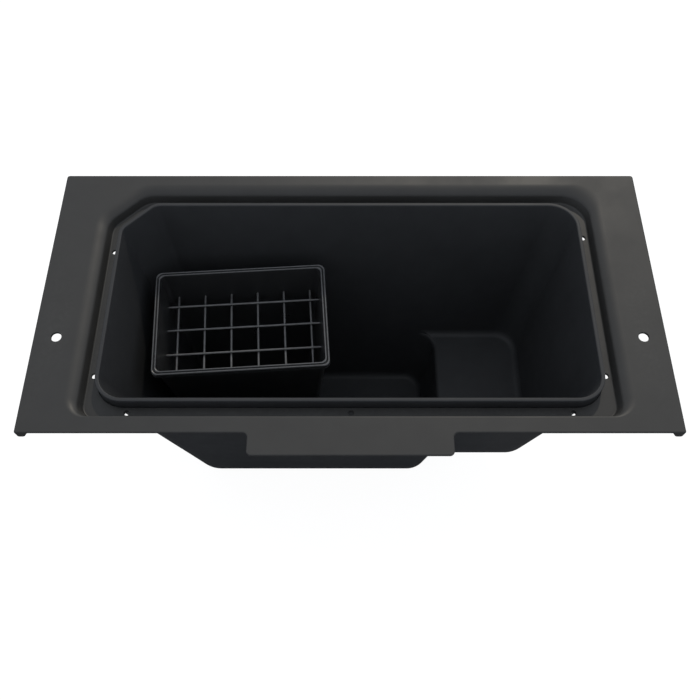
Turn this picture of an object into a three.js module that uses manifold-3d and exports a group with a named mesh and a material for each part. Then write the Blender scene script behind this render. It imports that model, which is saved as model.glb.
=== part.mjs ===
// Drop-in tool storage caddy: a flat cover panel with a rain gutter, a stepped
// storage tub hung below it on screws, and a lift-out tool basket with a wire grid.
// Millimetres, +Z up.  X runs along the panel, +Y points to its back edge.
// The origin is the centre of the object's box, on the plane the tub stands on.
import * as THREE from "three";
import { mergeVertices } from "three/addons/utils/BufferGeometryUtils.js";
import Module from "manifold-3d";
const wasm = await Module();
wasm.setup();

// ---------------------------------------------------------------- dimensions
const PANEL_LENGTH = 520;        // along X
const PANEL_DEPTH = 257;         // along Y, without the tab
const PANEL_T = 2.5;             // sheet thickness
const TAB_X0 = -79.5, TAB_X1 = 80.2, TAB_OUT = 19, TAB_R = 4;
const BACK_CORNER_R = 2.5, FRONT_CORNER_R = 1.2;
const HEM_DROP = 10;             // stiffening hem under each short edge
const LEDGE_Z = -11;             // floor of the gutter below the panel face
const MOUNT_HOLE_D = 8.5, MOUNT_HOLE_X = 241.4, MOUNT_HOLE_Y = 85.3;

const RIM_X = 204.5;             // half length of the upstanding rim, outside
const RIM_Y0 = 26.7, RIM_Y1 = 225;
const RIM_RF = 24, RIM_RB = 26;  // rim corner radii, front and back right
const RIM_CHAMFER = 28, CHAMFER_BLEND = 14; // cut-off back left corner
const CHAMFER_DRAFT = 0.044;      // the cut-off gets smaller with depth
const GUTTER_RF = 11, GUTTER_RB = 24;       // gutter floor's outer corner radii
const GUTTER_CHAMFER = 23;                  // the gutter's own cut-off corner, set further out than the rim's
const OPENING_GAP = 0.4;

const TUB_WALL = 3.2, TUB_FLOOR = 3;
const SHALLOW_H = 178, DEEP_H = 250;        // outside depths below the panel face
const DRAFT_X = 0.158, DRAFT_Y = 0.1716, DRAFT_FRONT = 0.157;  // wall slopes, mm per mm of depth
const POCKET_X1 = 117.4, POCKET_DRAFT = 0.146;  // right wall of the deep pocket
const TUB_R = 18, TUB_R_GROWTH = 0.05;      // corner radius at the mouth, and its growth with depth
const POCKET_R = 22;
const OUT_FILLET = 9, IN_FILLET = 6;
const POCKET_STEP = 0.4;                    // draw line where the deep pocket starts

const GASKET_T = 2, GAP = 0.3;
const FLANGE_T = 3, FLANGE_OUT = 14;
const GASKET_TOP = LEDGE_Z - PANEL_T - GAP;
const FLANGE_TOP = GASKET_TOP - GASKET_T - GAP;
const FLANGE_BOTTOM = FLANGE_TOP - FLANGE_T;
const BOSS_R = 3.2, BOSS_OFFSET = 6, SCREW_R = 1.45, SCREW_HEAD_R = 5.5, SCREW_HEX_R = 3.4;
const DRAIN_D = 4.5, DRAIN_CLEAR_R = 4.5;
const DRAINS = [[-208.4, 54.7], [-208.4, 178.6], [208.4, 54.7], [208.4, 194],
                [-177.6, 21.7], [0.8, 21.7], [177.6, 21.7]];
// Below each side drain the flange and gasket are slotted outwards and back, so water falls clear.
const DRAIN_CLEAR = [...DRAINS, ...DRAINS.filter(([x]) => Math.abs(x) > 200).map(([x, y]) => [x + Math.sign(x) * 2, y + 4.5])];
const BOSSES = [[-130, RIM_Y0 - BOSS_OFFSET], [-60, RIM_Y0 - BOSS_OFFSET],
                [60, RIM_Y0 - BOSS_OFFSET], [130, RIM_Y0 - BOSS_OFFSET],
                [RIM_X + BOSS_OFFSET, 90], [RIM_X + BOSS_OFFSET, 150],
                [130, RIM_Y1 + BOSS_OFFSET], [45, RIM_Y1 + BOSS_OFFSET],
                [-45, RIM_Y1 + BOSS_OFFSET], [-130, RIM_Y1 + BOSS_OFFSET],
                [-RIM_X - BOSS_OFFSET, 150], [-RIM_X - BOSS_OFFSET, 90]];

const BASKET_AT = [-98.7, 134.4], BASKET_TURN = 3.7;    // as it stands in the deep pocket
const BASKET_RIM_Z = -50, LIP_X = 78.3, LIP_Y = 54, LIP_H = 6, LIP_R = 7;
const BASKET_WALL_X = 75.4, BASKET_WALL_Y = 51.1, BASKET_DRAFT = 0.1;
const BASKET_IN_X = 73.9, BASKET_IN_Y = 49.6, BASKET_R = 6, BASKET_FLOOR = 2.5;
const BASKET_BOTTOM_Z = -DEEP_H + TUB_FLOOR + GAP;
const WIRE_R = 1.0, LONG_WIRE_Z = -80, CROSS_WIRE_Z = LONG_WIRE_Z - 2 * WIRE_R - GAP;
const LONG_WIRE_Y = [34, 8, -18], CROSS_WIRE_X = [-62, -37, -12, 13, 38, 63];
const LONG_WIRE_HALF = 71.5, CROSS_WIRE_HALF = 47.2;

// ---------------------------------------------------------------- solids
const rad = THREE.MathUtils.degToRad;

function solid(geometry) {
  const g = geometry.index ? geometry.toNonIndexed() : geometry.clone();
  g.deleteAttribute("normal");
  g.deleteAttribute("uv");
  const m = mergeVertices(g, 1e-4);
  const mesh = new wasm.Mesh({
    numProp: 3,
    vertProperties: new Float32Array(m.attributes.position.array),
    triVerts: new Uint32Array(m.index.array),
  });
  mesh.merge();
  return new wasm.Manifold(mesh);
}
function toGeometry(manifold) {
  const mesh = manifold.getMesh();
  const g = new THREE.BufferGeometry();
  g.setAttribute("position", new THREE.BufferAttribute(new Float32Array(mesh.vertProperties), 3));
  g.setIndex(new THREE.BufferAttribute(new Uint32Array(mesh.triVerts), 1));
  g.computeVertexNormals();
  return g;
}
const joined = (list) => list.reduce((a, b) => a.add(b));
const cut = (body, list) => list.reduce((a, b) => a.subtract(b), body);

// An outline box with rounded corners and, where asked, the cut-off back left corner.
function ring({ x0, x1, y0, y1, rfl, rfr, rbr, rbl = 0, chamfer = 0, blend = 0 }, n = 6) {
  const pts = [];
  const arc = (cx, cy, r, a0, a1, k) => {
    for (let i = 0; i <= k; i++) {
      const a = rad(a0 + (a1 - a0) * i / k);
      pts.push(new THREE.Vector2(cx + r * Math.cos(a), cy + r * Math.sin(a)));
    }
  };
  arc(x0 + rfl, y0 + rfl, rfl, 180, 270, n);
  arc(x1 - rfr, y0 + rfr, rfr, 270, 360, n);
  arc(x1 - rbr, y1 - rbr, rbr, 0, 90, n);
  if (chamfer > 0) {
    const t = blend * Math.tan(rad(22.5));
    arc(x0 + chamfer + t, y1 - blend, blend, 90, 135, 3);
    arc(x0 + blend, y1 - chamfer - t, blend, 135, 180, 3);
  } else {
    arc(x0 + rbl, y1 - rbl, rbl, 90, 180, n);
  }
  return pts;
}
// Solid through a stack of outlines with the same number of points, lowest first.
function loft(levels) {
  const shape = new THREE.Shape(levels[0].pts);
  const g = new THREE.ExtrudeGeometry(shape, {
    depth: levels.length - 1, steps: levels.length - 1, bevelEnabled: false });
  const base = levels[0].pts;
  const nearest = (x, y) => {
    let best = 0, least = Infinity;
    base.forEach((p, i) => {
      const d = (p.x - x) ** 2 + (p.y - y) ** 2;
      if (d < least) { least = d; best = i; }
    });
    return best;
  };
  const pos = g.attributes.position;
  for (let i = 0; i < pos.count; i++) {
    const k = nearest(pos.getX(i), pos.getY(i));
    const level = levels[Math.round(pos.getZ(i))];
    pos.setXYZ(i, level.pts[k].x, level.pts[k].y, level.z);
  }
  return solid(g);
}
const prism = (pts, z0, z1) => loft([{ pts, z: z0 }, { pts, z: z1 }]);
function cylinder(r, z0, z1, x, y, sides = 16) {
  const g = new THREE.CylinderGeometry(r, r, z1 - z0, sides);
  g.rotateX(Math.PI / 2);
  g.translate(x, y, (z0 + z1) / 2);
  return solid(g);
}
function box(x0, x1, y0, y1, z0, z1) {
  const g = new THREE.BoxGeometry(x1 - x0, y1 - y0, z1 - z0);
  g.translate((x0 + x1) / 2, (y0 + y1) / 2, (z0 + z1) / 2);
  return solid(g);
}

// Outline parallel to the rim: o outwards at the sides and back, f at the front.
function rimRing(o, f = o) {
  const m = (o + f) / 2;
  return ring({ x0: -RIM_X - o, x1: RIM_X + o, y0: RIM_Y0 - f, y1: RIM_Y1 + o,
    rfl: RIM_RF + m, rfr: RIM_RF + m, rbr: RIM_RB + o,
    chamfer: RIM_CHAMFER + 0.586 * o, blend: CHAMFER_BLEND + Math.max(o, -12) });
}
// Outline of the gutter's outer wall, o beyond the rim at the sides and back and f at the
// front.  Its front corners are tighter than the rim's, so the gutter floor widens there.
function gutterRing(o, f) {
  const front = GUTTER_RF + ((o + f) / 2 - 8.7) * 0.86, back = GUTTER_RB - 0.2 * (o - 9.7);
  return ring({ x0: -RIM_X - o, x1: RIM_X + o, y0: RIM_Y0 - f, y1: RIM_Y1 + o,
    rfl: front, rfr: front, rbr: back,
    chamfer: GUTTER_CHAMFER + 0.586 * o, blend: 16 + 0.3 * o });
}
// Drafted outline of the tub at depth h, drawn in by i.
function tubRing(h, i) {
  const r = Math.max(TUB_R + TUB_R_GROWTH * h - i, 3);
  return ring({ x0: -RIM_X + DRAFT_X * h + i, x1: RIM_X - DRAFT_X * h - i,
    y0: RIM_Y0 + DRAFT_FRONT * h + i, y1: RIM_Y1 - DRAFT_Y * h - i,
    rfl: r, rfr: r, rbr: r, chamfer: RIM_CHAMFER - CHAMFER_DRAFT * h - 0.586 * i, blend: Math.max(CHAMFER_BLEND - i, 3) });
}
function pocketRing(h, i) {
  const r = Math.max(TUB_R + TUB_R_GROWTH * h - i, 3), s = Math.max(POCKET_R - i, 3);
  const j = i + POCKET_STEP;
  return ring({ x0: -RIM_X + DRAFT_X * h + j, x1: POCKET_X1 - POCKET_DRAFT * h - i,
    y0: RIM_Y0 + DRAFT_FRONT * h + j, y1: RIM_Y1 - DRAFT_Y * h - j,
    rfl: r, rfr: s, rbr: s, chamfer: RIM_CHAMFER - CHAMFER_DRAFT * h - 0.586 * i, blend: Math.max(CHAMFER_BLEND - i, 3) });
}
// Stack of outlines with a rounded bottom edge of radius r at floor depth h.
function floorLevels(fn, h, i, r) {
  return [0, 30, 60, 90].map((a) => {
    const up = r * (1 - Math.cos(rad(a)));
    return { pts: fn(h - up, i + r * (1 - Math.sin(rad(a)))), z: -h + up };
  });
}

// ---------------------------------------------------------------- cover panel
function topPanel() {
  const w = PANEL_LENGTH / 2, d = PANEL_DEPTH, r = TAB_R;
  const s = new THREE.Shape();
  s.moveTo(-w + FRONT_CORNER_R, 0);
  s.lineTo(TAB_X0 - r, 0);
  s.absarc(TAB_X0 - r, -r, r, rad(90), 0, true);
  s.lineTo(TAB_X0, -TAB_OUT + r);
  s.absarc(TAB_X0 + r, -TAB_OUT + r, r, rad(180), rad(270), false);
  s.lineTo(TAB_X1 - r, -TAB_OUT);
  s.absarc(TAB_X1 - r, -TAB_OUT + r, r, rad(270), rad(360), false);
  s.lineTo(TAB_X1, -r);
  s.absarc(TAB_X1 + r, -r, r, rad(180), rad(90), true);
  s.lineTo(w - FRONT_CORNER_R, 0);
  s.lineTo(w, FRONT_CORNER_R);
  s.lineTo(w, d - BACK_CORNER_R);
  s.absarc(w - BACK_CORNER_R, d - BACK_CORNER_R, BACK_CORNER_R, 0, rad(90), false);
  s.lineTo(-w + BACK_CORNER_R, d);
  s.absarc(-w + BACK_CORNER_R, d - BACK_CORNER_R, BACK_CORNER_R, rad(90), rad(180), false);
  s.lineTo(-w, FRONT_CORNER_R);
  const plate = new THREE.ExtrudeGeometry(s, { depth: PANEL_T, bevelEnabled: false, curveSegments: 5 });
  plate.translate(0, 0, -PANEL_T);

  const skin = loft([
    { pts: gutterRing(9.76, 11.3), z: LEDGE_Z - PANEL_T },
    { pts: gutterRing(11.93, 12.12), z: -8.85 },
    { pts: gutterRing(14.75, 12.84), z: -5.14 },
    { pts: gutterRing(18.09, 14.37), z: -3.18 },
    { pts: gutterRing(21.9, 16.6), z: -PANEL_T },
    { pts: gutterRing(21.9, 16.6), z: -1.2 },
  ]);
  const recess = loft([
    { pts: gutterRing(8.17, 9.21), z: LEDGE_Z },
    { pts: gutterRing(9.66, 9.77), z: -7.79 },
    { pts: gutterRing(12.98, 10.9), z: -3.37 },
    { pts: gutterRing(17.12, 13.34), z: -0.875 },
    { pts: gutterRing(21.9, 16.6), z: 0 },
    { pts: gutterRing(21.9, 16.6), z: 1 },
  ]);
  const hem = (side) => {
    const h = new THREE.Shape([[w, -1], [w, -HEM_DROP], [w - 4.2, -HEM_DROP],
      [w - 10.2, -PANEL_T + 0.3], [w - 10.2, -1]].map(([x, z]) => new THREE.Vector2(side * x, z)));
    const g = new THREE.ExtrudeGeometry(h, { depth: d - BACK_CORNER_R - 0.5, bevelEnabled: false });
    g.rotateX(Math.PI / 2);           // drawn in X and Z, run along Y
    g.translate(0, d - BACK_CORNER_R, 0);
    return solid(g);
  };
  const bosses = BOSSES.map(([x, y]) => cylinder(BOSS_R, FLANGE_BOTTOM - GAP, LEDGE_Z - 0.9, x, y, 14));
  const pilot = BOSSES.map(([x, y]) => cylinder(SCREW_R + GAP, FLANGE_BOTTOM - 2, LEDGE_Z - PANEL_T + 0.1, x, y, 12));
  const drains = DRAINS.map(([x, y]) => cylinder(DRAIN_D / 2, LEDGE_Z - 6, LEDGE_Z + 3, x, y, 16));
  const mounts = [-1, 1].map((k) => cylinder(MOUNT_HOLE_D / 2, -8, 3, k * MOUNT_HOLE_X, MOUNT_HOLE_Y, 24));
  let body = joined([solid(plate), hem(1), hem(-1), skin]);
  body = cut(body, [recess, prism(rimRing(OPENING_GAP), -20, -5)]);
  body = joined([body, ...bosses]);
  return cut(body, [...pilot, ...drains, ...mounts]);
}

// ---------------------------------------------------------------- storage tub
function storageTub() {
  const outside = joined([
    loft([...floorLevels(tubRing, SHALLOW_H, 0, OUT_FILLET), { pts: tubRing(-FLANGE_TOP - 1, 0), z: FLANGE_TOP - 1 + 1.5 }]),
    loft([...floorLevels(pocketRing, DEEP_H, 0, OUT_FILLET), { pts: pocketRing(SHALLOW_H - 18, 0), z: -SHALLOW_H + 18 }]),
    prism(rimRing(0), FLANGE_TOP - 1.5, 0),
    prism(rimRing(FLANGE_OUT), FLANGE_BOTTOM, FLANGE_TOP),
  ]);
  const inside = joined([
    loft([...floorLevels(tubRing, SHALLOW_H - TUB_FLOOR, TUB_WALL, IN_FILLET),
      { pts: insideTop(0), z: 0 }, { pts: insideTop(-1), z: 1 }]),
    loft([...floorLevels(pocketRing, DEEP_H - TUB_FLOOR, TUB_WALL, IN_FILLET),
      { pts: pocketRing(SHALLOW_H - 20, TUB_WALL), z: -SHALLOW_H + 20 }]),
  ]);
  const bossHoles = BOSSES.map(([x, y]) => cylinder(BOSS_R + GAP, FLANGE_BOTTOM - 1, FLANGE_TOP + 1, x, y, 14));
  const drainHoles = DRAIN_CLEAR.map(([x, y]) => cylinder(DRAIN_CLEAR_R, FLANGE_BOTTOM - 1, FLANGE_TOP + 0.01, x, y, 16));
  return cut(outside, [inside, ...bossHoles, ...drainHoles]);
}
// Mouth of the tub: the inside outline drawn to the rim's own corner radii.
function insideTop(h) {
  const i = TUB_WALL;
  return ring({ x0: -RIM_X + DRAFT_X * h + i, x1: RIM_X - DRAFT_X * h - i,
    y0: RIM_Y0 + DRAFT_FRONT * h + i, y1: RIM_Y1 - DRAFT_Y * h - i,
    rfl: RIM_RF - i, rfr: RIM_RF - i, rbr: RIM_RB - i,
    chamfer: RIM_CHAMFER - CHAMFER_DRAFT * h - 0.586 * i, blend: CHAMFER_BLEND - i });
}

// ---------------------------------------------------------------- gasket and screws
function tubGasket() {
  const z0 = GASKET_TOP - GASKET_T, z1 = GASKET_TOP;
  return cut(prism(rimRing(11, 13.8), z0, z1), [
    prism(rimRing(1.2), z0 - 1, z1 + 1),
    ...BOSSES.map(([x, y]) => cylinder(BOSS_R + 2 * GAP, z0 - 1, z1 + 1, x, y, 10)),
    ...DRAIN_CLEAR.map(([x, y]) => cylinder(DRAIN_CLEAR_R, z0 - 1, z1 + 1, x, y, 12)),
  ]);
}
function tubScrew() {
  const top = FLANGE_BOTTOM - 2 * GAP;
  const tip = LEDGE_Z - PANEL_T - 0.2;
  const v = (r, z) => new THREE.Vector2(r, z);
  const g = new THREE.LatheGeometry([
    v(0, top - 3.4), v(SCREW_HEX_R - 0.5, top - 3.4), v(SCREW_HEX_R, top - 2.9), v(SCREW_HEX_R, top - 1.5),
    v(SCREW_HEAD_R, top - 1.1), v(SCREW_HEAD_R, top), v(SCREW_R, top), v(SCREW_R, tip - 0.8), v(0, tip),
  ], 12);
  g.rotateX(Math.PI / 2);            // the profile was drawn along Y
  const socket = new THREE.CylinderGeometry(1.5, 1.5, 3, 6);
  socket.rotateX(Math.PI / 2);
  socket.translate(0, 0, top - 3.4);
  return solid(g).subtract(solid(socket));
}

// ---------------------------------------------------------------- tool basket
function basketRing(hx, hy, r) {
  return ring({ x0: -hx, x1: hx, y0: -hy, y1: hy, rfl: r, rfr: r, rbr: r, rbl: r }, 5);
}
function toolBasket() {
  const depth = BASKET_RIM_Z - BASKET_BOTTOM_Z;
  const wall = (hx, hy) => (h, i) => basketRing(hx - BASKET_DRAFT * h - i, hy - BASKET_DRAFT * h - i, Math.max(BASKET_R - i, 1.5));
  const place = (levels) => loft(levels.map((l) => ({ pts: l.pts, z: l.z + BASKET_RIM_Z })));
  const out = wall(BASKET_WALL_X, BASKET_WALL_Y), inn = wall(BASKET_IN_X, BASKET_IN_Y);
  const outside = joined([
    place([...floorLevels(out, depth, 0, 5), { pts: out(2, 0), z: -2 }]),
    place([{ pts: basketRing(LIP_X - 1, LIP_Y - 1, LIP_R - 1), z: -LIP_H },
      { pts: basketRing(LIP_X, LIP_Y, LIP_R), z: -LIP_H + 1 },
      { pts: basketRing(LIP_X, LIP_Y, LIP_R), z: -1.4 },
      { pts: basketRing(LIP_X - 1.4, LIP_Y - 1.4, LIP_R - 1.4), z: 0 }]),
  ]);
  const inside = place([...floorLevels(inn, depth - BASKET_FLOOR, 0, 3), { pts: inn(0, 0), z: 0 }, { pts: inn(-1, 0), z: 1 }]);
  const seats = [];
  const seat = (length, x, y, z, along) => {
    const g = new THREE.CylinderGeometry(WIRE_R + GAP, WIRE_R + GAP, 2 * length, 10);
    if (along === "x") g.rotateZ(Math.PI / 2);
    g.translate(x, y, z);
    seats.push(solid(g));
  };
  LONG_WIRE_Y.forEach((y) => seat(LONG_WIRE_HALF + GAP, 0, y, LONG_WIRE_Z, "x"));
  CROSS_WIRE_X.forEach((x) => seat(CROSS_WIRE_HALF + GAP, x, 0, CROSS_WIRE_Z, "y"));
  return cut(outside, [inside, ...seats]);
}

// ---------------------------------------------------------------- assembly
const finish = (color, roughness, metalness = 0) => new THREE.MeshStandardMaterial({ color, roughness, metalness });
const part = new THREE.Group();
part.name = "tool_storage_caddy";
const frame = new THREE.Group();      // from the panel's front edge to the object's own origin
frame.position.set(0, -(PANEL_DEPTH - TAB_OUT) / 2, DEEP_H);
part.add(frame);
function add(parent, name, geometry, material) {
  const mesh = new THREE.Mesh(geometry, material);
  mesh.name = name;
  parent.add(mesh);
  return mesh;
}
add(frame, "top_panel", toGeometry(topPanel()), finish(0x313130, 0.6));
add(frame, "storage_tub", toGeometry(storageTub()), finish(0x313234, 0.52));
add(frame, "tub_gasket", toGeometry(tubGasket()), finish(0x161616, 0.9));
BOSSES.forEach(([x, y], i) => {
  const screw = add(frame, `tub_screw_${String(i + 1).padStart(2, "0")}`, toGeometry(tubScrew()), finish(0x9a9c9e, 0.35, 1));
  screw.position.set(x, y, 0);
});
const basket = new THREE.Group();
basket.position.set(BASKET_AT[0], BASKET_AT[1], 0);
basket.rotation.z = rad(BASKET_TURN);
frame.add(basket);
add(basket, "tool_basket", toGeometry(toolBasket()), finish(0x2d2e2f, 0.35));
LONG_WIRE_Y.forEach((y, i) => {
  const g = new THREE.CylinderGeometry(WIRE_R, WIRE_R, 2 * LONG_WIRE_HALF, 10);
  g.rotateZ(Math.PI / 2);
  add(basket, `grid_long_wire_${i + 1}`, g, finish(0x5b5c5d, 0.35)).position.set(0, y, LONG_WIRE_Z);
});
CROSS_WIRE_X.forEach((x, i) => {
  const g = new THREE.CylinderGeometry(WIRE_R, WIRE_R, 2 * CROSS_WIRE_HALF, 10);
  add(basket, `grid_cross_wire_${i + 1}`, g, finish(0x5b5c5d, 0.35)).position.set(x, 0, CROSS_WIRE_Z);
});
part.updateMatrixWorld(true);
export default part;
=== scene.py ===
"""Drop-in tool storage caddy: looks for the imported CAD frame.

The panel, tub, gasket, screws, basket and wires are rebuilt here as finely
rounded meshes of the same sizes as their CAD nodes. Lengths below are in
millimetres in the panel's own axes (x right, y back from the panel's front
edge, z up from the panel face) and are moved into the shared frame on build.
"""
import math

import bmesh
import bpy
from mathutils import Matrix, Vector


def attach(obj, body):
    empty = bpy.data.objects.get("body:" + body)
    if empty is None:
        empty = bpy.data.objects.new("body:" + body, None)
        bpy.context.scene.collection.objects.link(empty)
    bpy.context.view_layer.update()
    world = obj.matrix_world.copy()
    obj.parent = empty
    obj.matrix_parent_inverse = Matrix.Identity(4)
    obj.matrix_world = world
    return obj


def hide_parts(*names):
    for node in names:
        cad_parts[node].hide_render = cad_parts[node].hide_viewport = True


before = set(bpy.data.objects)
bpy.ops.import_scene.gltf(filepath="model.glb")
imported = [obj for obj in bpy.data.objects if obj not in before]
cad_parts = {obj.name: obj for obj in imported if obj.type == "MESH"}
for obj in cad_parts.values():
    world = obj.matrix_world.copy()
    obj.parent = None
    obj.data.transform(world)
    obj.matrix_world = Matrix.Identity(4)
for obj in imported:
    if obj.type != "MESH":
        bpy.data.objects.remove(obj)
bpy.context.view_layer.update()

# ------------------------------------------------------------------ sizes, mm
SHIFT = Vector((0.0, -119.0, 250.0))
PANEL_LENGTH, PANEL_DEPTH, PANEL_T = 520.0, 257.0, 2.5
TAB_X0, TAB_X1, TAB_OUT, TAB_R = -79.5, 80.2, 19.0, 4.0
BACK_CORNER_R, FRONT_CORNER_R = 2.5, 1.2
HEM_DROP = 10.0
LEDGE_Z = -11.0
MOUNT_HOLE_R, MOUNT_HOLE_X, MOUNT_HOLE_Y = 4.25, 241.4, 85.3
RIM_X, RIM_Y0, RIM_Y1 = 204.5, 26.7, 225.0
RIM_RF, RIM_RB = 24.0, 26.0
RIM_CHAMFER, CHAMFER_BLEND, CHAMFER_DRAFT = 28.0, 14.0, 0.044
GUTTER_RF, GUTTER_RB, GUTTER_CHAMFER = 11.0, 24.0, 23.0
OPENING_GAP = 0.4
TUB_WALL, TUB_FLOOR = 3.2, 3.0
SHALLOW_H, DEEP_H = 178.0, 250.0
DRAFT_X, DRAFT_Y, DRAFT_FRONT = 0.158, 0.1716, 0.157
POCKET_X1, POCKET_DRAFT = 117.4, 0.146
TUB_R, TUB_R_GROWTH, POCKET_R = 18.0, 0.05, 22.0
OUT_FILLET, IN_FILLET = 9.0, 6.0
POCKET_STEP = 0.06
GAP = 0.3
GASKET_TOP, GASKET_BOTTOM = -13.8, -15.8
FLANGE_TOP, FLANGE_BOTTOM, FLANGE_OUT = -16.1, -19.1, 14.0
BOSS_R, BOSS_OFFSET, SCREW_R = 3.2, 6.0, 1.45
DRAIN_R, DRAIN_CLEAR_R = 2.25, 4.5
DRAINS = [(-208.4, 54.7), (-208.4, 178.6), (208.4, 54.7), (208.4, 194.0),
          (-177.6, 21.7), (0.8, 21.7), (177.6, 21.7)]
DRAIN_CLEAR = DRAINS + [(x + math.copysign(2.0, x), y + 4.5) for x, y in DRAINS if abs(x) > 200.0]
BOSSES = [(-130, RIM_Y0 - BOSS_OFFSET), (-60, RIM_Y0 - BOSS_OFFSET),
          (60, RIM_Y0 - BOSS_OFFSET), (130, RIM_Y0 - BOSS_OFFSET),
          (RIM_X + BOSS_OFFSET, 90), (RIM_X + BOSS_OFFSET, 150),
          (130, RIM_Y1 + BOSS_OFFSET), (45, RIM_Y1 + BOSS_OFFSET),
          (-45, RIM_Y1 + BOSS_OFFSET), (-130, RIM_Y1 + BOSS_OFFSET),
          (-RIM_X - BOSS_OFFSET, 150), (-RIM_X - BOSS_OFFSET, 90)]
BASKET_AT, BASKET_TURN, BASKET_RIM_Z = (-98.7, 134.4), math.radians(3.7), -50.0
WIRE_R, LONG_WIRE_Z, CROSS_WIRE_Z = 1.0, -80.0, -82.3
LONG_WIRE_Y = [34, 8, -18]
CROSS_WIRE_X = [-62, -37, -12, 13, 38, 63]
LONG_WIRE_HALF, CROSS_WIRE_HALF = 71.5, 47.2
N = 22                                   # segments in a quarter turn of an outline


# ------------------------------------------------------------------ mesh tools
def place(p):
    return (Vector(p) + SHIFT) * 0.001


def make_object(name, mesh):
    obj = bpy.data.objects.new(name, mesh)
    bpy.context.scene.collection.objects.link(obj)
    return obj


def arc_points(cx, cy, r, a0, a1, k):
    out = []
    for i in range(k + 1):
        a = math.radians(a0 + (a1 - a0) * i / k)
        out.append((cx + r * math.cos(a), cy + r * math.sin(a)))
    return out


def ring(x0, x1, y0, y1, rfl, rfr, rbr, rbl=0.0, chamfer=0.0, blend=0.0, n=N):
    pts = arc_points(x0 + rfl, y0 + rfl, rfl, 180, 270, n)
    pts += arc_points(x1 - rfr, y0 + rfr, rfr, 270, 360, n)
    pts += arc_points(x1 - rbr, y1 - rbr, rbr, 0, 90, n)
    if chamfer > 0:
        t = blend * math.tan(math.radians(22.5))
        pts += arc_points(x0 + chamfer + t, y1 - blend, blend, 90, 135, n // 2)
        pts += arc_points(x0 + blend, y1 - chamfer - t, blend, 135, 180, n // 2)
    else:
        pts += arc_points(x0 + rbl, y1 - rbl, rbl, 90, 180, n)
    return pts


def add_loft(bm, levels, caps=(True, True)):
    """Closed skin through outlines with the same number of points."""
    rows = [[bm.verts.new(place((x, y, z))) for x, y in pts] for pts, z in levels]
    count = len(rows[0])
    for low, high in zip(rows, rows[1:]):
        for i in range(count):
            j = (i + 1) % count
            bm.faces.new((low[i], low[j], high[j], high[i]))
    if caps[0]:
        bm.faces.new(rows[0][::-1])
    if caps[1]:
        bm.faces.new(rows[-1])


def solid(name, *lofts):
    bm = bmesh.new()
    for levels in lofts:
        add_loft(bm, levels)
    bmesh.ops.recalc_face_normals(bm, faces=bm.faces)
    mesh = bpy.data.meshes.new(name)
    bm.to_mesh(mesh)
    bm.free()
    return make_object(name, mesh)


def boolean(target, operation, *tools):
    for tool in tools:
        mod = target.modifiers.new("cut", "BOOLEAN")
        mod.operation = operation
        mod.solver = "MANIFOLD"
        mod.object = tool
        graph = bpy.context.evaluated_depsgraph_get()
        result = bpy.data.meshes.new_from_object(target.evaluated_get(graph))
        if len(result.polygons) == 0:
            raise RuntimeError(f"empty boolean: {target.name} {operation} {tool.name}")
        target.modifiers.clear()
        old = target.data
        target.data = result
        bpy.data.meshes.remove(old)
        tool_mesh = tool.data
        bpy.data.objects.remove(tool)
        bpy.data.meshes.remove(tool_mesh)
    return target


def circle(cx, cy, r, k=32):
    return [(cx + r * math.cos(2 * math.pi * i / k), cy + r * math.sin(2 * math.pi * i / k)) for i in range(k)]


def turned(cx, cy, profile, k=32):
    """Levels of a turned shape from (radius, z) pairs, lowest first."""
    return [(circle(cx, cy, r, k), z) for r, z in profile]


def finish_surface(obj, angle=32.0, weighted=True):
    """Clean the mesh, shade it smooth with hard edges kept, and weight its normals by area."""
    bm = bmesh.new()
    bm.from_mesh(obj.data)
    bmesh.ops.remove_doubles(bm, verts=bm.verts, dist=2e-7)
    bmesh.ops.dissolve_degenerate(bm, dist=1e-7, edges=bm.edges)
    for f in bm.faces:
        f.smooth = True
    limit = math.radians(angle)
    for e in bm.edges:
        if len(e.link_faces) == 2:
            e.smooth = e.calc_face_angle(0.0) < limit
        else:
            e.smooth = False
    bm.to_mesh(obj.data)
    bm.free()
    if weighted:
        mod = obj.modifiers.new("normals", "WEIGHTED_NORMAL")
        mod.mode = "FACE_AREA"
        mod.keep_sharp = True
        mod.weight = 60
    return obj


# ------------------------------------------------------------------ outlines
def rim_ring(o, f=None, n=N):
    f = o if f is None else f
    m = (o + f) / 2
    return ring(-RIM_X - o, RIM_X + o, RIM_Y0 - f, RIM_Y1 + o, RIM_RF + m, RIM_RF + m, RIM_RB + o,
                chamfer=RIM_CHAMFER + 0.586 * o, blend=CHAMFER_BLEND + max(o, -12.0), n=n)


def gutter_ring(o, f, n=N):
    """Outer wall of the gutter: its front corners are tighter than the rim's."""
    front, back = GUTTER_RF + ((o + f) / 2 - 8.7) * 0.86, GUTTER_RB - 0.2 * (o - 9.7)
    return ring(-RIM_X - o, RIM_X + o, RIM_Y0 - f, RIM_Y1 + o, front, front, back,
                chamfer=GUTTER_CHAMFER + 0.586 * o, blend=16 + 0.3 * o, n=n)


def tub_ring(h, i, mouth=0.0):
    """Drafted outline at depth h drawn in by i; mouth 1 gives it the rim's corner radii."""
    r = max(TUB_R + TUB_R_GROWTH * h - i, 3.0)
    rf = r + (max(RIM_RF - i, 3.0) - r) * mouth
    rb = r + (max(RIM_RB - i, 3.0) - r) * mouth
    return ring(-RIM_X + DRAFT_X * h + i, RIM_X - DRAFT_X * h - i,
                RIM_Y0 + DRAFT_FRONT * h + i, RIM_Y1 - DRAFT_Y * h - i, rf, rf, rb,
                chamfer=RIM_CHAMFER - CHAMFER_DRAFT * h - 0.586 * i, blend=max(CHAMFER_BLEND - i, 3.0))


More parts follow.
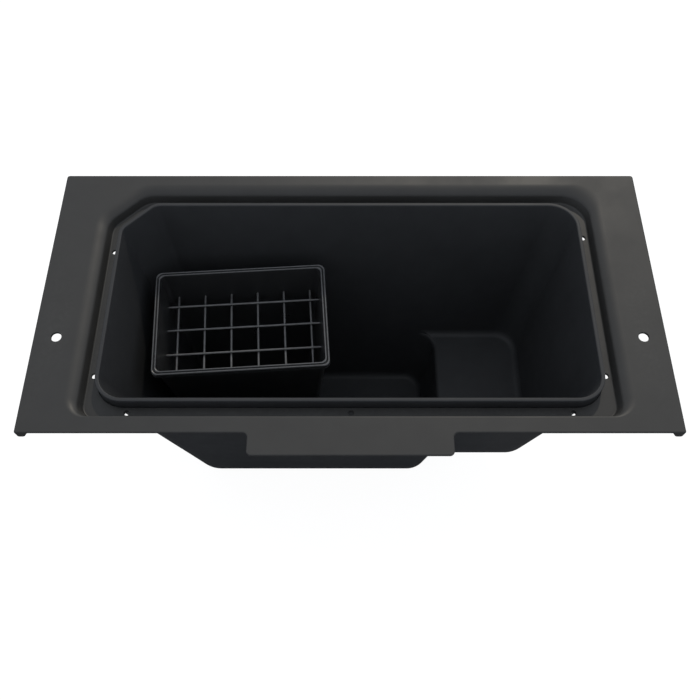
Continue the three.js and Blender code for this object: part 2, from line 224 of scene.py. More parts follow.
def pocket_ring(h, i, right=0.0):
    """Outline of the deep pocket; right moves its right wall outwards."""
    r, s = max(TUB_R + TUB_R_GROWTH * h - i, 3.0), max(POCKET_R - i, 3.0)
    j = i + POCKET_STEP
    return ring(-RIM_X + DRAFT_X * h + j, POCKET_X1 - POCKET_DRAFT * h - i + right,
                RIM_Y0 + DRAFT_FRONT * h + j, RIM_Y1 - DRAFT_Y * h - j, r, s, s,
                chamfer=RIM_CHAMFER - CHAMFER_DRAFT * h - 0.586 * i, blend=max(CHAMFER_BLEND - i, 3.0))


def floor_levels(fn, h, i, r, steps=9):
    out = []
    for k in range(steps + 1):
        a = math.radians(90 * k / steps)
        up = r * (1 - math.cos(a))
        out.append((fn(h - up, i + r * (1 - math.sin(a))), -h + up))
    return out


# ------------------------------------------------------------------ cover panel
def panel_outline(d):
    """Panel outline drawn in by d: straight edges, corner rounds and the front tab."""
    w, depth = PANEL_LENGTH / 2, PANEL_DEPTH
    rf, rb = max(FRONT_CORNER_R - d, 0.25), max(BACK_CORNER_R - d, 0.25)
    pts = arc_points(-w + d + rf, d + rf, rf, 180, 270, 8)
    pts += arc_points(TAB_X0 - TAB_R, -TAB_R, TAB_R + d, 90, 0, 12)
    pts += arc_points(TAB_X0 + TAB_R, -TAB_OUT + TAB_R, TAB_R - d, 180, 270, 12)
    pts += arc_points(TAB_X1 - TAB_R, -TAB_OUT + TAB_R, TAB_R - d, 270, 360, 12)
    pts += arc_points(TAB_X1 + TAB_R, -TAB_R, TAB_R + d, 180, 90, 12)
    pts += arc_points(w - d - rf, d + rf, rf, 270, 360, 8)
    pts += arc_points(w - d - rb, depth - d - rb, rb, 0, 90, 8)
    pts += arc_points(-w + d + rb, depth - d - rb, rb, 90, 180, 8)
    return pts


def gutter_profile(centre_o, radius, slope, floor_z, fillet, centre_z):
    """Returns offset(z) of a gutter wall: shoulder round, straight slope, floor fillet."""
    th = math.radians(slope)
    o_arc = centre_o - radius * math.sin(th)
    z_arc = centre_z + radius * math.cos(th)
    o_floor = o_arc - (z_arc - floor_z) / math.tan(th)
    o_tan = o_floor - fillet * math.tan(th / 2)

    def offset(z):
        if z >= z_arc:
            c = min(1.0, max(-1.0, (z - centre_z) / radius))
            return centre_o - radius * math.sin(math.acos(c))
        z_top = floor_z + fillet * (1 - math.cos(th))
        if z >= z_top or fillet <= 0:
            return o_arc - (z_arc - z) / math.tan(th)
        c = min(1.0, max(-1.0, 1 - (z - floor_z) / fillet))
        return o_tan + fillet * math.sin(math.acos(c))
    return offset


def level_set(lists, least):
    zs = sorted({round(z, 5) for zz in lists for z in zz})
    out = [zs[0]]
    for z in zs[1:]:
        if z - out[-1] > least:
            out.append(z)
    if out[-1] != zs[-1]:
        out[-1] = zs[-1]
    return out


def build_panel():
    r = 0.95
    levels = []
    for k in range(6):                                    # underside edge round
        a = math.radians(90 * k / 5)
        levels.append((panel_outline(0.7 * (1 - math.sin(a))), -PANEL_T + 0.7 * (1 - math.cos(a))))
    for k in range(7):                                    # top edge round
        a = math.radians(90 * k / 6)
        levels.append((panel_outline(r * (1 - math.cos(a))), -r + r * math.sin(a)))
    panel = solid("panel", levels)

    def hem(side):
        w = PANEL_LENGTH / 2
        rb = 1.1
        pts = [(w, -1.15)]
        pts += [(x, z) for x, z in arc_points(w - rb, -HEM_DROP + rb, rb, 0, -90, 7)]
        # the round of the hem's inner lower edge, then up to the sheet
        rin = 2.2
        ang = math.degrees(math.atan2(HEM_DROP - PANEL_T + 0.3, 6.0))
        cx = w - 4.2 - 0.2
        pts += [(x, z) for x, z in arc_points(cx, -HEM_DROP + rin, rin, -90, -90 - ang, 7)]
        pts += [(w - 10.2, -PANEL_T + 0.1), (w - 10.2, -1.15)]
        pts = [(side * x, z) for x, z in pts]
        ys = [0.5, 0.75, 1.3, PANEL_DEPTH - BACK_CORNER_R - 0.8, PANEL_DEPTH - BACK_CORNER_R - 0.2, PANEL_DEPTH - BACK_CORNER_R]
        shrink = [0.55, 0.2, 0.0, 0.0, 0.2, 0.55]
        cxm = side * (w - 4.5)
        bm = bmesh.new()
        rows = []
        for y, s in zip(ys, shrink):
            row = []
            for x, z in pts:
                if z > -2.0:
                    px, pz = x, z
                else:
                    k = min(1.0, (-2.0 - z) / 2.0)
                    pz = z + s * k * (1.0 if z < -HEM_DROP + 2.5 else 0.3)
                    px = x + (s * k if x < cxm else -s * k)
                row.append(bm.verts.new(place((px, y, pz))))
            rows.append(row)
        count = len(pts)
        for a, b in zip(rows, rows[1:]):
            for i in range(count):
                j = (i + 1) % count
                bm.faces.new((a[i], a[j], b[j], b[i]))
        bm.faces.new(rows[0][::-1])
        bm.faces.new(rows[-1])
        bmesh.ops.recalc_face_normals(bm, faces=bm.faces)
        mesh = bpy.data.meshes.new("hem")
        bm.to_mesh(mesh)
        bm.free()
        return make_object("hem", mesh)

    # gutter recess and the skin below it
    # the side and back shoulder rolls gently to 35 degrees, then tightly into a steep wall
    wide, turn, tight = 16.0, math.radians(35.0), 5.0
    o_turn, z_turn = 21.9 - wide * math.sin(turn), -wide * (1 - math.cos(turn))
    z_tight = z_turn - tight * math.cos(turn)
    wall = gutter_profile(o_turn + tight * math.sin(turn), tight, 68.0, LEDGE_Z, 1.6, z_tight)

    def side(z):
        if z < z_turn:
            return wall(z)
        return 21.9 - wide * math.sin(math.acos(min(1.0, 1 + min(z, 0.0) / wide)))
    front = gutter_profile(14.1, 1.8, 80.0, LEDGE_Z, 1.3, -1.8)
    zs = level_set([
        [-wide + wide * math.cos(math.radians(a)) for a in range(0, 36, 3)],
        [z_tight + tight * math.cos(math.radians(a)) for a in range(35, 69, 5)],
        [-1.8 + 1.8 * math.cos(math.radians(a)) for a in range(0, 81, 9)],
        [LEDGE_Z + 1.6 * (1 - math.cos(math.radians(a))) for a in range(0, 69, 11)],
        [LEDGE_Z + 1.3 * (1 - math.cos(math.radians(a))) for a in range(0, 85, 12)],
        [-8.6, -9.4],
    ], 0.012)
    recess = [(gutter_ring(side(z), front(z)), z) for z in zs] + [(gutter_ring(21.9, 14.1), 1.0)]
    under_side = gutter_profile(21.9, 11.0, 65.0, LEDGE_Z - PANEL_T, 3.2, -13.5)
    under_front = gutter_profile(16.6, 4.0, 80.0, LEDGE_Z - PANEL_T, 2.6, -6.5)
    zu = level_set([
        [-13.5 + 11.0 * math.cos(math.radians(a)) for a in range(0, 66, 6)],
        [-6.5 + 4.0 * math.cos(math.radians(a)) for a in range(0, 81, 12)],
        [LEDGE_Z - PANEL_T + 3.2 * (1 - math.cos(math.radians(a))) for a in range(0, 69, 9)],
        [LEDGE_Z - PANEL_T + 2.6 * (1 - math.cos(math.radians(a))) for a in range(0, 85, 12)],
    ], 0.02)
    skin = [(gutter_ring(under_side(z), under_front(z)), z) for z in zu] + [(gutter_ring(21.9, 16.6), -1.2)]
    opening = [(rim_ring(OPENING_GAP), -20.0), (rim_ring(OPENING_GAP), LEDGE_Z - 0.35),
               (rim_ring(OPENING_GAP + 0.12), LEDGE_Z - 0.12), (rim_ring(OPENING_GAP + 0.4), LEDGE_Z),
               (rim_ring(OPENING_GAP + 0.4), -5.0)]
    boolean(panel, "UNION", hem(1), hem(-1), solid("skin", skin))
    boolean(panel, "DIFFERENCE", solid("recess", recess), solid("opening", opening))
    boss = solid("boss", *[turned(x, y, [(BOSS_R - 0.4, -19.4), (BOSS_R, -19.0), (BOSS_R, -14.4), (BOSS_R + 0.5, -13.6), (BOSS_R + 0.5, LEDGE_Z - 0.9)]) for x, y in BOSSES])
    boolean(panel, "UNION", boss)
    pilot = solid("pilot", *[turned(x, y, [(SCREW_R + 0.7, -21.0), (SCREW_R + 0.7, -19.4), (SCREW_R + 0.25, -18.9), (SCREW_R + 0.25, -13.4)], 24) for x, y in BOSSES])
    drains = solid("drains", *[turned(x, y, [(DRAIN_R + 0.3, -17.0), (DRAIN_R + 0.3, -13.5), (DRAIN_R, -13.2),
                                              (DRAIN_R, LEDGE_Z - 0.45), (DRAIN_R + 0.12, LEDGE_Z - 0.2),
                                              (DRAIN_R + 0.45, LEDGE_Z), (DRAIN_R + 0.45, -8.0)], 40) for x, y in DRAINS])
    mounts = solid("mounts", *[turned(k * MOUNT_HOLE_X, MOUNT_HOLE_Y, [
        (MOUNT_HOLE_R + 0.4, -8.0), (MOUNT_HOLE_R + 0.4, -2.5), (MOUNT_HOLE_R, -2.1), (MOUNT_HOLE_R, -0.5),
        (MOUNT_HOLE_R + 0.15, -0.2), (MOUNT_HOLE_R + 0.5, 0.0), (MOUNT_HOLE_R + 0.5, 3.0)], 56) for k in (-1, 1)])
    boolean(panel, "DIFFERENCE", pilot, drains, mounts)
    return finish_surface(panel)


# ------------------------------------------------------------------ storage tub
def build_tub():
    def main_out(h, i):
        return tub_ring(h, i)

    def pocket_out(h, i):
        return pocket_ring(h, i)
    flare = 6.0
    outer_pocket = floor_levels(pocket_out, DEEP_H, 0.0, OUT_FILLET)
    for k in range(8):                                    # concave round below the shelf
        a = math.radians(90 * k / 7)
        h = SHALLOW_H + flare * (1 - math.sin(a))
        outer_pocket.append((pocket_ring(h, 0.0, flare * (1 - math.cos(a))), -h))
    outer_pocket.append((pocket_ring(SHALLOW_H - 18, 0.0, flare), -SHALLOW_H + 18))
    outer_main = floor_levels(main_out, SHALLOW_H, 0.0, OUT_FILLET)
    outer_main.append((tub_ring(15.1, 0.0), -15.6))
    tub = solid("tub", outer_main)
    top = 0.85
    coaming = [(rim_ring(0.0), FLANGE_TOP - 1.5), (rim_ring(0.0), -top)]
    for k in range(1, 8):
        a = math.radians(90 * k / 7)
        coaming.append((rim_ring(-top * (1 - math.cos(a))), -top + top * math.sin(a)))
    flange = []
    for k in range(5):
        a = math.radians(90 * k / 4)
        flange.append((rim_ring(FLANGE_OUT - 0.9 * (1 - math.sin(a))), FLANGE_BOTTOM + 0.9 * (1 - math.cos(a))))
    for k in range(5):
        a = math.radians(90 * k / 4)
        flange.append((rim_ring(FLANGE_OUT - 0.7 * (1 - math.cos(a))), FLANGE_TOP - 0.7 + 0.7 * math.sin(a)))
    boolean(tub, "UNION", solid("outer_pocket", outer_pocket), solid("coaming", coaming), solid("flange", flange))

    inner_main = floor_levels(main_out, SHALLOW_H - TUB_FLOOR, TUB_WALL, IN_FILLET)
    h0 = SHALLOW_H - TUB_FLOOR - IN_FILLET
    for k in range(1, 13):
        h = h0 + (top - h0) * k / 12
        inner_main.append((tub_ring(h, TUB_WALL, (h0 - h) / h0), -h))
    for k in range(1, 8):
        a = math.radians(90 * k / 7)
        h = top * (1 - math.sin(a))
        inner_main.append((tub_ring(h, TUB_WALL - top * (1 - math.cos(a)), (h0 - h) / h0), -h))
    inner_main.append((tub_ring(0.0, TUB_WALL - top, 1.0), 2.0))
    lip = 3.5
    inner_pocket = floor_levels(pocket_out, DEEP_H - TUB_FLOOR, TUB_WALL, IN_FILLET)
    h1 = SHALLOW_H - TUB_FLOOR
    for k in range(9):                                    # rounded edge of the shelf
        a = math.radians(90 * k / 8)
        h = h1 + lip * (1 - math.sin(a))
        inner_pocket.append((pocket_ring(h, TUB_WALL, lip * (1 - math.cos(a))), -h))
    inner_pocket.append((pocket_ring(SHALLOW_H - 20, TUB_WALL, lip), -SHALLOW_H + 20))
    boolean(tub, "DIFFERENCE", solid("inner_main", inner_main), solid("inner_pocket", inner_pocket))
    holes = solid("holes", *[turned(x, y, [(BOSS_R + 0.3, -20.5), (BOSS_R + 0.3, -15.95)]) for x, y in BOSSES],
                  *[turned(x, y, [(DRAIN_CLEAR_R, -20.5), (DRAIN_CLEAR_R, FLANGE_TOP + 0.01)]) for x, y in DRAINS])
    slots = solid("slots", *[turned(x, y, [(DRAIN_CLEAR_R, -20.5), (DRAIN_CLEAR_R, FLANGE_TOP + 0.01)]) for x, y in DRAIN_CLEAR[len(DRAINS):]])
    boolean(tub, "DIFFERENCE", holes, slots)
    return finish_surface(tub)


def build_gasket():
    r = 0.5
    levels = []
    for k in range(5):
        a = math.radians(90 * k / 4)
        levels.append((rim_ring(11 - r * (1 - math.sin(a)), 13.8 - r * (1 - math.sin(a))), GASKET_BOTTOM + r * (1 - math.cos(a))))
    for k in range(5):
        a = math.radians(90 * k / 4)
        levels.append((rim_ring(11 - r * (1 - math.cos(a)), 13.8 - r * (1 - math.cos(a))), GASKET_TOP - r + r * math.sin(a)))
    gasket = solid("gasket", levels)
    hole = solid("gasket_hole", [(rim_ring(1.2), GASKET_BOTTOM - 1), (rim_ring(1.2), GASKET_TOP + 1)])
    holes = solid("gasket_holes", *[turned(x, y, [(BOSS_R + 0.6, -17), (BOSS_R + 0.6, -12.5)]) for x, y in BOSSES])
    drains = solid("gasket_drains", *[turned(x, y, [(DRAIN_CLEAR_R, -17), (DRAIN_CLEAR_R, -12.5)]) for x, y in DRAINS])
    slots = solid("gasket_slots", *[turned(x, y, [(DRAIN_CLEAR_R, -17), (DRAIN_CLEAR_R, -12.5)]) for x, y in DRAIN_CLEAR[len(DRAINS):]])
    boolean(gasket, "DIFFERENCE", hole, holes, drains, slots)
    return finish_surface(gasket)


def build_screw(number, x, y):
    top = FLANGE_BOTTOM - 2 * GAP
    tip = LEDGE_Z - PANEL_T - 0.2
    k = 48
    rows = []

    def hexagon(r, z, soft=0.0):
        out = []
        for i in range(k):
            a = 2 * math.pi * i / k
            b = (a % (math.pi / 3)) - math.pi / 6
            h = min(r * math.cos(math.pi / 6) / math.cos(b), r * (1 - soft))
            out.append((x + h * math.cos(a), y + h * math.sin(a)))
        return out, z
    rows.append(hexagon(2.9, top - 3.4, 0.05))
    rows.append(hexagon(3.25, top - 3.2, 0.03))
    rows.append(hexagon(3.4, top - 2.9, 0.01))
    rows.append(hexagon(3.4, top - 1.55, 0.01))
    for rr, z in [(3.75, top - 1.4), (4.6, top - 1.25), (5.2, top - 1.1), (5.42, top - 0.85), (5.5, top - 0.5),
                  (5.42, top - 0.12), (5.25, top), (SCREW_R + 0.3, top), (SCREW_R, top + 0.25)]:
        rows.append((circle(x, y, rr, k), z))
    z = top + 0.25
    while z < tip - 1.1:                                  # thread, as rings of crest and root
        rows.append((circle(x, y, SCREW_R, k), z + 0.12))
        rows.append((circle(x, y, SCREW_R - 0.3, k), z + 0.4))
        z += 0.62
    rows.append((circle(x, y, SCREW_R, k), tip - 0.8))
    rows.append((circle(x, y, 0.4, k), tip))
    name = f"screw_{number:02d}"
    screw = solid(name, rows)
    socket = solid("socket", [([(x + 1.5 * math.cos(math.radians(60 * i)), y + 1.5 * math.sin(math.radians(60 * i))) for i in range(6)], zz)
                              for zz in (top - 5.0, top - 1.9)])
    boolean(screw, "DIFFERENCE", socket)
    return finish_surface(screw, 30)


# ------------------------------------------------------------------ tool basket
def basket_place(p):
    """Basket axes to panel axes: turned about its own centre."""
    c, s = math.cos(BASKET_TURN), math.sin(BASKET_TURN)
    return (BASKET_AT[0] + c * p[0] - s * p[1], BASKET_AT[1] + s * p[0] + c * p[1], p[2])


def basket_row(bm, hx, hy, r, z, n=14):
    pts = ring(-hx, hx, -hy, hy, r, r, r, rbl=r, n=n)
    return [bm.verts.new(place(basket_place((x, y, z + BASKET_RIM_Z)))) for x, y in pts]


def build_basket():
    depth = 250.0 - 50.0 - TUB_FLOOR - GAP                # rim to underside
    draft, floor = 0.1, 2.5
    rows = []                                             # (half x, half y, corner r, z)

    def out(h, i):
        return (75.4 - draft * h - i, 51.1 - draft * h - i, max(5.2 - i, 1.5), -h)

    def inn(h, i):
        return (73.9 - draft * h - i, 49.6 - draft * h - i, max(4.6 - i, 1.5), -h)
    for k in range(9):                                    # bottom round, outside
        a = math.radians(90 * k / 8)
        h = depth - 5 * (1 - math.cos(a))
        hx, hy, r, z = out(h, 5 * (1 - math.sin(a)))
        rows.append((hx, hy, r, z))
    for h in (150, 110, 70, 40, 20, 9):
        rows.append(out(h, 0.0))
    rows += [(75.1, 50.8, 5.2, -6.9), (75.6, 51.3, 5.25, -6.25), (76.3, 52.0, 5.35, -6.0),
             (77.2, 52.9, 5.5, -6.0), (77.75, 53.45, 5.65, -5.85), (78.15, 53.85, 5.75, -5.5), (78.3, 54.0, 5.8, -5.0),
             (78.3, 54.0, 5.8, -2.2)]
    # two rolled beads with a groove between them
    lip = [(0.0, -1.7), (0.05, -1.15), (0.2, -0.66), (0.48, -0.26), (0.82, -0.06), (1.15, 0.0), (1.5, -0.06), (1.8, -0.26),
           (2.02, -0.62), (2.16, -1.05), (2.36, -1.38), (2.65, -1.5), (2.94, -1.38), (3.14, -1.05), (3.28, -0.62),
           (3.5, -0.26), (3.8, -0.06), (4.15, 0.0), (4.5, -0.06), (4.82, -0.26), (5.1, -0.66), (5.25, -1.15), (5.3, -1.7)]
    for i, z in lip:
        rows.append((78.3 - i * 0.83, 54.0 - i * 0.83, 5.8 - i * 0.22, z))
    for h in (4, 10, 20, 27, 34, 60, 100, 140, 170):
        rows.append(inn(h, 0.0))
    hf = depth - floor
    for k in range(7):
        a = math.radians(90 * (6 - k) / 6)
        h = hf - 3 * (1 - math.cos(a))
        rows.append(inn(h, 3 * (1 - math.sin(a))))
    bm = bmesh.new()
    made = [basket_row(bm, *row) for row in rows]
    count = len(made[0])
    for a, b in zip(made, made[1:]):
        for i in range(count):
            j = (i + 1) % count
            bm.faces.new((a[i], a[j], b[j], b[i]))
    bm.faces.new(made[0][::-1])
    bm.faces.new(made[-1])
    bmesh.ops.recalc_face_normals(bm, faces=bm.faces)
    mesh = bpy.data.meshes.new("basket")
    bm.to_mesh(mesh)
    bm.free()
    return finish_surface(make_object("basket", mesh), 40)


def build_wire(name, along, offset, half, z, welds):
    """A round bar with domed ends; welds are places along it that carry a small bead."""
    k = 20
    stations = [(-half, WIRE_R * 0.55), (-half + 0.12, WIRE_R * 0.8), (-half + 0.35, WIRE_R * 0.97), (-half + 0.6, WIRE_R)]
    count = 28
    for i in range(1, count):
        stations.append((-half + 0.6 + (2 * half - 1.2) * i / count, WIRE_R))
    stations += [(half - 0.6, WIRE_R), (half - 0.35, WIRE_R * 0.97), (half - 0.12, WIRE_R * 0.8), (half, WIRE_R * 0.55)]
    bm = bmesh.new()
    rows = []
    for s, r in stations:
        row = []
        for i in range(k):
            a = 2 * math.pi * i / k
            u, v = r * math.cos(a), r * math.sin(a)
            p = (s, offset + u, z + v) if along == "x" else (offset + u, s, z + v)
            row.append(bm.verts.new(place(basket_place(p))))
        rows.append(row)
    for a, b in zip(rows, rows[1:]):
        for i in range(k):
            j = (i + 1) % k
            bm.faces.new((a[i], a[j], b[j], b[i]))
    bm.faces.new(rows[0][::-1])
    bm.faces.new(rows[-1])
    bmesh.ops.recalc_face_normals(bm, faces=bm.faces)
    mesh = bpy.data.meshes.new(name)
    bm.to_mesh(mesh)
    bm.free()
    wire = make_object(name, mesh)
    if welds:
        beads = []
        for s in welds:
            # the spot where the two bars were pressed together: a low bead between them
            cx, cy = (s, offset) if along == "x" else (offset, s)
            profile = [(0.35, -0.55), (0.75, -0.35), (0.98, 0.05), (1.02, 0.35), (0.9, 0.75), (0.6, 1.0), (0.3, 1.08)]
            px, py, _ = basket_place((cx, cy, 0))
            beads.append([(circle(px, py, r, 20), z + 0.75 + dz) for r, dz in profile])
        boolean(wire, "UNION", solid("beads", *beads))
    return finish_surface(wire, 40)


# ------------------------------------------------------------------ materials
def principled(name):
    mat = bpy.data.materials.new(name)
    mat.use_nodes = True
    tree = mat.node_tree
    tree.nodes.clear()
    out = tree.nodes.new("ShaderNodeOutputMaterial")
    bsdf = tree.nodes.new("ShaderNodeBsdfPrincipled")
    tree.links.new(bsdf.outputs["BSDF"], out.inputs["Surface"])
    return mat, tree, bsdf


def noise(tree, coords, scale, detail=4.0, rough=0.55):
    n = tree.nodes.new("ShaderNodeTexNoise")
    n.inputs["Scale"].default_value = scale
    n.inputs["Detail"].default_value = detail
    n.inputs["Roughness"].default_value = rough
    tree.links.new(coords, n.inputs["Vector"])
    return n.outputs["Fac"]


def map_range(tree, value, a0, a1, b0, b1):
    m = tree.nodes.new("ShaderNodeMapRange")
    m.inputs["From Min"].default_value = a0
    m.inputs["From Max"].default_value = a1
    m.inputs["To Min"].default_value = b0
    m.inputs["To Max"].default_value = b1
    tree.links.new(value, m.inputs["Value"])
    return m.outputs["Result"]


def mix_colour(tree, factor, a, b):
    m = tree.nodes.new("ShaderNodeMix")
    m.data_type = "RGBA"
    if isinstance(factor, float):
        m.inputs[0].default_value = factor
    else:
        tree.links.new(factor, m.inputs[0])
    for socket, value in ((m.inputs[6], a), (m.inputs[7], b)):
        if isinstance(value, (tuple, list)):
            socket.default_value = (*value[:3], 1.0)
        else:
            tree.links.new(value, socket)
    return m.outputs[2]


def combine(tree, operation, a, b):
    m = tree.nodes.new("ShaderNodeMath")
    m.operation = operation
    for socket, value in ((m.inputs[0], a), (m.inputs[1], b)):
        if isinstance(value, (int, float)):
            socket.default_value = value
        else:
            tree.links.new(value, socket)
    return m.outputs[0]


def plastic(name, dark, light, rough, grain_scale=2600.0, grain=0.00002, rub_and_highlight_strength=0.25, specular=0.5, wave=0.0, rub_and_highlight_paling=2.1, patchy=0.42):
    """Moulded plastic: cloudy tone, fine texture, paler rubbed edges (a painted highlight where the paling is strong)
    and faint handling marks.
    """
    mat, tree, bsdf = principled(name)
    coords = tree.nodes.new("ShaderNodeTexCoord").outputs["Object"]
    cloud = noise(tree, coords, 7.0, 5.0, 0.6)
    mottle = noise(tree, coords, 55.0, 6.0, 0.65)
    tone = combine(tree, "ADD", combine(tree, "MULTIPLY", cloud, 0.65), combine(tree, "MULTIPLY", mottle, 0.35))
    colour = mix_colour(tree, map_range(tree, tone, 0.36, 0.64, 0.0, 1.0), dark, light)
    # rubbed edges, paler where the surface is sharply convex; with a strong paling this is a painted highlight on those
    # edges
    point = tree.nodes.new("ShaderNodeNewGeometry").outputs["Pointiness"]
    edge = map_range(tree, point, 0.515, 0.58, 0.0, 1.0)
    broken = map_range(tree, noise(tree, coords, 240.0, 4.0, 0.7), patchy, patchy + 0.2, 0.0, 1.0)
    rub_and_highlight_mask = combine(tree, "MULTIPLY", combine(tree, "MULTIPLY", edge, broken), rub_and_highlight_strength)
    # pale edge colour: real rubbing at low paling, a painted highlight at high paling
    rub_and_highlight_colour = tuple(min(1.0, c * rub_and_highlight_paling + 0.012) for c in light)
    colour = mix_colour(tree, rub_and_highlight_mask, colour, rub_and_highlight_colour)
    tree.links.new(colour, bsdf.inputs["Base Color"])
    smear = noise(tree, coords, 19.0, 5.0, 0.6)
    r = map_range(tree, smear, 0.34, 0.66, rough - 0.05, rough + 0.06)
    tree.links.new(r, bsdf.inputs["Roughness"])
    bsdf.inputs["Specular IOR Level"].default_value = specular
    fine = noise(tree, coords, grain_scale, 2.0, 0.6)
    pebble = tree.nodes.new("ShaderNodeTexVoronoi")
    pebble.inputs["Scale"].default_value = grain_scale * 0.62
    tree.links.new(coords, pebble.inputs["Vector"])
    height = combine(tree, "ADD", fine, combine(tree, "MULTIPLY", pebble.outputs["Distance"], 0.8))
    bump = tree.nodes.new("ShaderNodeBump")
    bump.inputs["Strength"].default_value = 0.55
    bump.inputs["Distance"].default_value = grain
    tree.links.new(height, bump.inputs["Height"])
    normal = bump.outputs["Normal"]
    if wave > 0.0:                                        # slight unevenness of a large moulding
        ripple = tree.nodes.new("ShaderNodeBump")
        ripple.inputs["Strength"].default_value = 1.0
        ripple.inputs["Distance"].default_value = wave
        tree.links.new(noise(tree, coords, 14.0, 2.0, 0.4), ripple.inputs["Height"])
        tree.links.new(normal, ripple.inputs["Normal"])
        normal = ripple.outputs["Normal"]
    tree.links.new(normal, bsdf.inputs["Normal"])
    return mat


def coated_wire(name):
    mat, tree, bsdf = principled(name)
    coords = tree.nodes.new("ShaderNodeTexCoord").outputs["Object"]
    tone = noise(tree, coords, 130.0, 5.0, 0.65)
    colour = mix_colour(tree, map_range(tree, tone, 0.38, 0.62, 0.0, 1.0), (0.084, 0.085, 0.087), (0.118, 0.120, 0.122))
    chip = map_range(tree, noise(tree, coords, 420.0, 3.0, 0.6), 0.66, 0.7, 0.0, 0.5)
    colour = mix_colour(tree, chip, colour, (0.18, 0.176, 0.172))
    tree.links.new(colour, bsdf.inputs["Base Color"])
    tree.links.new(map_range(tree, tone, 0.35, 0.65, 0.28, 0.42), bsdf.inputs["Roughness"])
    bsdf.inputs["Metallic"].default_value = 0.0
    bsdf.inputs["Coat Weight"].default_value = 0.25
    bsdf.inputs["Coat Roughness"].default_value = 0.2
    bump = tree.nodes.new("ShaderNodeBump")
    bump.inputs["Strength"].default_value = 0.4
    bump.inputs["Distance"].default_value = 0.00004
    tree.links.new(noise(tree, coords, 900.0, 3.0, 0.6), bump.inputs["Height"])
    tree.links.new(bump.outputs["Normal"], bsdf.inputs["Normal"])
    return mat


def zinc_steel(name):
    mat, tree, bsdf = principled(name)
    coords = tree.nodes.new("ShaderNodeTexCoord").outputs["Object"]
    spangle = noise(tree, coords, 700.0, 5.0, 0.7)
    colour = mix_colour(tree, map_range(tree, spangle, 0.35, 0.65, 0.0, 1.0), (0.44, 0.45, 0.46), (0.62, 0.62, 0.61))
    tree.links.new(colour, bsdf.inputs["Base Color"])
    bsdf.inputs["Metallic"].default_value = 1.0
    tree.links.new(map_range(tree, spangle, 0.35, 0.65, 0.27, 0.45), bsdf.inputs["Roughness"])
    bump = tree.nodes.new("ShaderNodeBump")
    bump.inputs["Strength"].default_value = 0.35
    bump.inputs["Distance"].default_value = 0.00003
    tree.links.new(noise(tree, coords, 2200.0, 2.0, 0.5), bump.inputs["Height"])
    tree.links.new(bump.outputs["Normal"], bsdf.inputs["Normal"])
    return mat


def foam_rubber(name):
    mat, tree, bsdf = principled(name)
    coords = tree.nodes.new("ShaderNodeTexCoord").outputs["Object"]
    cells = tree.nodes.new("ShaderNodeTexVoronoi")
    cells.inputs["Scale"].default_value = 1100.0
    tree.links.new(coords, cells.inputs["Vector"])
    colour = mix_colour(tree, map_range(tree, cells.outputs["Distance"], 0.0, 0.7, 0.0, 1.0), (0.004, 0.004, 0.004), (0.020, 0.020, 0.021))
    tree.links.new(colour, bsdf.inputs["Base Color"])
    tree.links.new(map_range(tree, noise(tree, coords, 90.0), 0.35, 0.65, 0.8, 0.95), bsdf.inputs["Roughness"])
    bump = tree.nodes.new("ShaderNodeBump")
    bump.inputs["Strength"].default_value = 0.8
    bump.inputs["Distance"].default_value = 0.00012
    tree.links.new(cells.outputs["Distance"], bump.inputs["Height"])
    tree.links.new(bump.outputs["Normal"], bsdf.inputs["Normal"])
    return mat


panel_mat = plastic("panel_plastic", (0.0265, 0.0263, 0.0255), (0.0325, 0.0323, 0.0312), 0.50, rub_and_highlight_strength=0.22, specular=0.40, wave=0.00003)
tub_mat = plastic("tub_plastic", (0.0278, 0.0290, 0.0309), (0.0346, 0.0360, 0.0384), 0.52, rub_and_highlight_strength=0.2, specular=0.28, wave=0.00004)
# paling 12 on the basket paints a highlight on the convex beads of its lip and its other sharp edges
basket_mat = plastic("basket_plastic", (0.0175, 0.0181, 0.0190), (0.0230, 0.0237, 0.0247), 0.32, grain_scale=2100.0, rub_and_highlight_strength=1.0, specular=0.75, rub_and_highlight_paling=12.0, patchy=0.28)
wire_mat = coated_wire("grid_wire")
rubber_mat = foam_rubber("gasket_rubber")
steel_mat = zinc_steel("screw_steel")


def dress(obj, material, body, *nodes, slot=None):
    obj.data.materials.clear()
    obj.data.materials.append(material)
    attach(obj, body)
    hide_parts(*nodes)
    return obj


dress(build_panel(), panel_mat, "caddy", "top_panel", slot="panel_plastic")
dress(build_tub(), tub_mat, "caddy", "storage_tub", slot="tub_plastic")
dress(build_gasket(), rubber_mat, "caddy", "tub_gasket", slot="gasket_rubber")
for index, (bx, by) in enumerate(BOSSES):
    dress(build_screw(index + 1, bx, by), steel_mat, "caddy", f"tub_screw_{index + 1:02d}", slot="screw_steel")
dress(build_basket(), basket_mat, "basket", "tool_basket", slot="basket_plastic")
for index, wy in enumerate(LONG_WIRE_Y):
    dress(build_wire(f"long_wire_{index + 1}", "x", wy, LONG_WIRE_HALF, LONG_WIRE_Z, []),
          wire_mat, "basket", f"grid_long_wire_{index + 1}", slot="grid_wire")
for index, wx in enumerate(CROSS_WIRE_X):
    dress(build_wire(f"cross_wire_{index + 1}", "y", wx, CROSS_WIRE_HALF, CROSS_WIRE_Z, LONG_WIRE_Y),
          wire_mat, "basket", f"grid_cross_wire_{index + 1}", slot="grid_wire")

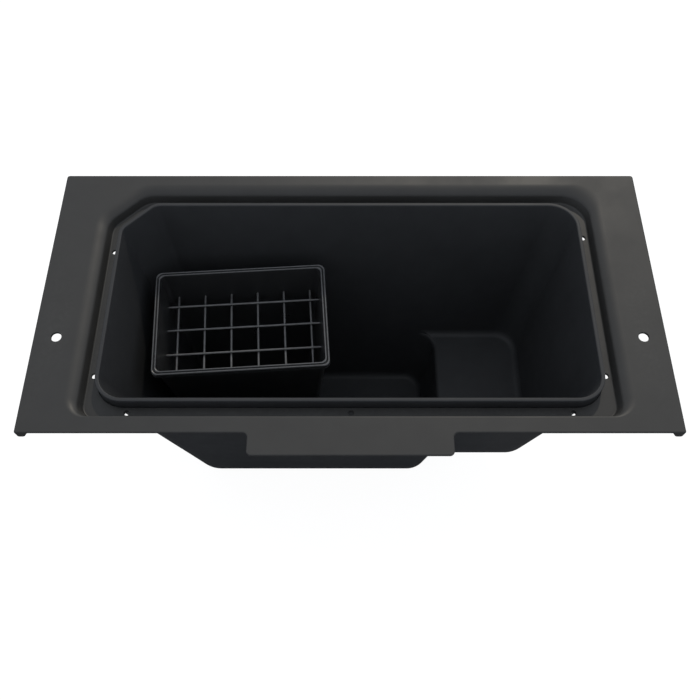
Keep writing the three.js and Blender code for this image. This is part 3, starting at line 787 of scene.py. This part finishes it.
# ------------------------------------------------------------------ stage, light and camera
floor_mesh = bpy.data.meshes.new("floor")
bm = bmesh.new()
bmesh.ops.create_grid(bm, x_segments=24, y_segments=24, size=6.0)
bm.to_mesh(floor_mesh)
bm.free()
floor = make_object("floor", floor_mesh)
fmat, ftree, fbsdf = principled("floor_paper")
fcoords = ftree.nodes.new("ShaderNodeTexCoord").outputs["Object"]
fcol = mix_colour(ftree, map_range(ftree, noise(ftree, fcoords, 3.0, 4.0), 0.3, 0.7, 0.0, 1.0), (0.15, 0.15, 0.15), (0.165, 0.165, 0.165))
ftree.links.new(fcol, fbsdf.inputs["Base Color"])
ftree.links.new(map_range(ftree, noise(ftree, fcoords, 30.0, 4.0), 0.3, 0.7, 0.85, 0.95), fbsdf.inputs["Roughness"])
fbsdf.inputs["Emission Color"].default_value = (1.0, 1.0, 1.0, 1.0)
fbsdf.inputs["Emission Strength"].default_value = 0.93
floor_mesh.materials.append(fmat)
# the floor glows like a light table, and its glow is kept off the object
glow = bpy.data.collections.new("floor_only")
glow.objects.link(floor)
floor.light_linking.receiver_collection = glow

world = bpy.data.worlds.new("studio")
bpy.context.scene.world = world
world.use_nodes = True
background = world.node_tree.nodes["Background"]
background.inputs["Color"].default_value = (0.94, 0.99, 1.07, 1.0)
background.inputs["Strength"].default_value = 0.70


def sun(name, direction, strength, size, colour):
    data = bpy.data.lights.new(name, "SUN")
    data.energy = strength
    data.angle = math.radians(size)
    data.color = colour
    obj = bpy.data.objects.new(name, data)
    bpy.context.scene.collection.objects.link(obj)
    obj.rotation_mode = "QUATERNION"
    obj.rotation_quaternion = Vector(direction).normalized().to_track_quat("-Z", "Y")
    obj.location = -Vector(direction).normalized() * 2.0
    return obj


def from_angles(x, y, elevation):
    e = math.radians(elevation)
    n = math.hypot(x, y)
    return (x / n * math.cos(e), y / n * math.cos(e), -math.sin(e))


sun("key", from_angles(-0.25, -0.97, 37.0), 0.95, 2.0, (1.12, 1.02, 0.86))

cam_data = bpy.data.cameras.new("camera")
cam_data.sensor_width = 36.0
cam_data.lens = 43.457
cam_data.clip_start, cam_data.clip_end = 0.01, 50.0
camera = bpy.data.objects.new("camera", cam_data)
bpy.context.scene.collection.objects.link(camera)
camera.location = (0.0, -0.3827, 0.8497)
camera.rotation_euler = (math.radians(90.0 - 60.70), 0.0, 0.0)
bpy.context.scene.camera = camera
bpy.context.scene.view_settings.view_transform = "Standard"
